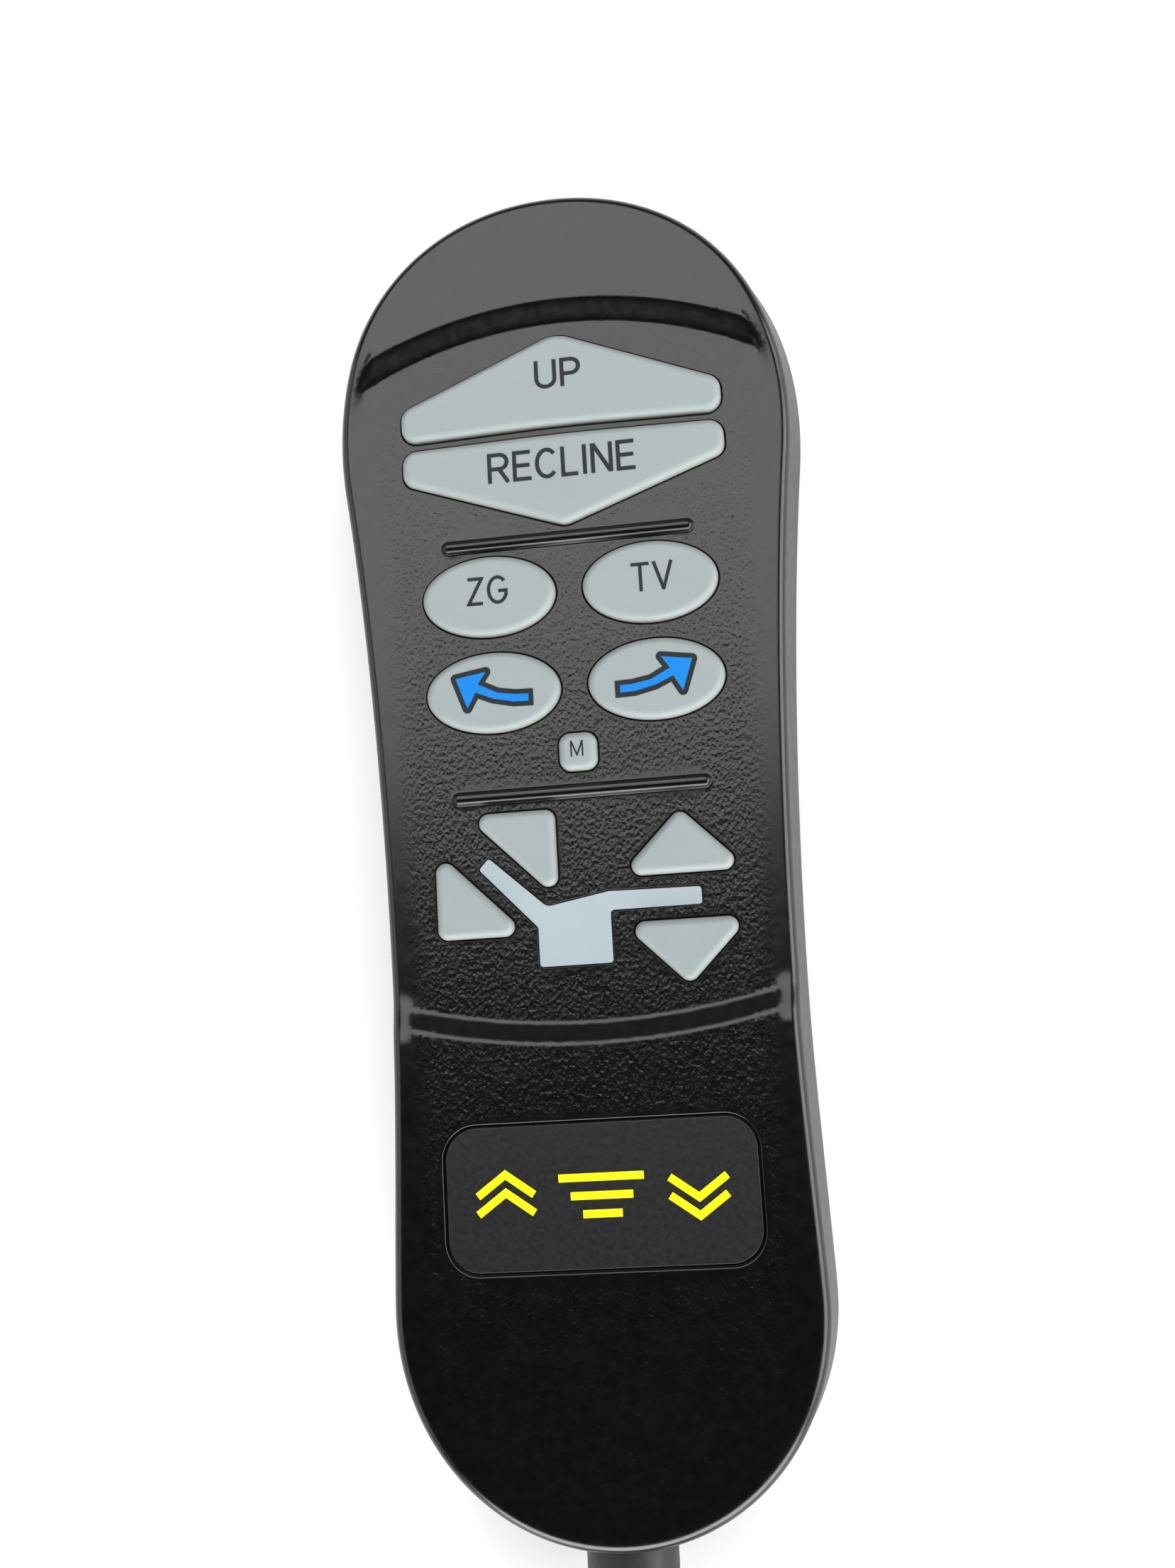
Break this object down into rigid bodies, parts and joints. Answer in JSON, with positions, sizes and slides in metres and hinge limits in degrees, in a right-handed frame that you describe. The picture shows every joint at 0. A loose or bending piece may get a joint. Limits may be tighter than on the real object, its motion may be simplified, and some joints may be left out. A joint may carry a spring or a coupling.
{
  "type": "wired hand control",
  "caption": "Wired hand control for a powered lift chair: rounded two-part housing, raised rubber keys on a sunken face, nameplate, boot, coiled lead and round plug.",
  "frame": {"origin": "on the surface that the back rests on, under the middle of the housing's length and width", "axes": "+X to the right of the key face, +Y along the housing towards its wide head, +Z out of the key face"},
  "size_m": [0.0924, 0.3706, 0.0337],
  "materials": {
    "housing": "fine leather grain",
    "key": "satin",
    "membrane": "satin",
    "carbon": "matte",
    "window": "frosted",
    "plate": "satin",
    "board": "solder mask",
    "chip": "matte",
    "diode": "satin",
    "connector": "satin",
    "steel": "zinc plated",
    "cord": "satin",
    "tie": "woven",
    "nickel": "nickel plated",
    "brass": "polished"
  },
  "bodies": {
    "housing": {"top_shell": "housing", "bottom_shell": "housing", "keypad_membrane": "membrane", "circuit_board": "board", "symbol_window": "window", "nameplate": "plate", "case_screw_1": "steel", "case_screw_2": "steel", "case_screw_3": "steel", "case_screw_4": "steel", "controller_chip": "chip", "wire_header": "connector", "backlight_diode_1": "diode", "backlight_diode_2": "diode", "backlight_diode_3": "diode", "backlight_diode_4": "diode", "cable_clamp": "housing", "clamp_screw_1": "steel", "clamp_screw_2": "steel", "inner_cable": "cord", "wire_ribbon": "cord", "strain_relief": "cord", "cord_lead": "cord", "cord_coil": "cord", "cord_tail": "cord", "cord_tie_1": "tie", "cord_tie_2": "tie", "plug_body": "cord", "plug_shell": "nickel", "plug_insert": "chip", "plug_pin_1": "brass", "plug_pin_2": "brass", "plug_pin_3": "brass", "plug_pin_4": "brass", "plug_pin_5": "brass"},
    "key_up_body": {"key_up": "key", "contact_pill_up": "carbon"},
    "key_recline_body": {"key_recline": "key", "contact_pill_recline": "carbon"},
    "key_zero_gravity_body": {"key_zero_gravity": "key", "contact_pill_zero_gravity": "carbon"},
    "key_tv_body": {"key_tv": "key", "contact_pill_tv": "carbon"},
    "key_arrow_left_body": {"key_arrow_left": "key", "contact_pill_arrow_left": "carbon"},
    "key_arrow_right_body": {"key_arrow_right": "key", "contact_pill_arrow_right": "carbon"},
    "key_memory_body": {"key_memory": "key", "contact_pill_memory": "carbon"},
    "key_foot_up_body": {"key_foot_up": "key", "contact_pill_foot_up": "carbon"},
    "key_foot_down_body": {"key_foot_down": "key", "contact_pill_foot_down": "carbon"},
    "key_back_up_body": {"key_back_up": "key", "contact_pill_back_up": "carbon"},
    "key_back_down_body": {"key_back_down": "key", "contact_pill_back_down": "carbon"}
  },
  "joints": [
    {"name": "up_press", "type": "slide", "parent": "housing", "child": "key_up_body", "axis": [0, 0, -1], "range_m": [0, 0.0009], "stiffness_N_per_m": 1500},
    {"name": "recline_press", "type": "slide", "parent": "housing", "child": "key_recline_body", "axis": [0, 0, -1], "range_m": [0, 0.0009], "stiffness_N_per_m": 1500},
    {"name": "zero_gravity_press", "type": "slide", "parent": "housing", "child": "key_zero_gravity_body", "axis": [0, 0, -1], "range_m": [0, 0.0009], "stiffness_N_per_m": 1500},
    {"name": "tv_press", "type": "slide", "parent": "housing", "child": "key_tv_body", "axis": [0, 0, -1], "range_m": [0, 0.0009], "stiffness_N_per_m": 1500},
    {"name": "arrow_left_press", "type": "slide", "parent": "housing", "child": "key_arrow_left_body", "axis": [0, 0, -1], "range_m": [0, 0.0009], "stiffness_N_per_m": 1500},
    {"name": "arrow_right_press", "type": "slide", "parent": "housing", "child": "key_arrow_right_body", "axis": [0, 0, -1], "range_m": [0, 0.0009], "stiffness_N_per_m": 1500},
    {"name": "memory_press", "type": "slide", "parent": "housing", "child": "key_memory_body", "axis": [0, 0, -1], "range_m": [0, 0.0009], "stiffness_N_per_m": 1500},
    {"name": "foot_up_press", "type": "slide", "parent": "housing", "child": "key_foot_up_body", "axis": [0, 0, -1], "range_m": [0, 0.0009], "stiffness_N_per_m": 1500},
    {"name": "foot_down_press", "type": "slide", "parent": "housing", "child": "key_foot_down_body", "axis": [0, 0, -1], "range_m": [0, 0.0009], "stiffness_N_per_m": 1500},
    {"name": "back_up_press", "type": "slide", "parent": "housing", "child": "key_back_up_body", "axis": [0, 0, -1], "range_m": [0, 0.0009], "stiffness_N_per_m": 1500},
    {"name": "back_down_press", "type": "slide", "parent": "housing", "child": "key_back_down_body", "axis": [0, 0, -1], "range_m": [0, 0.0009], "stiffness_N_per_m": 1500}
  ]
}
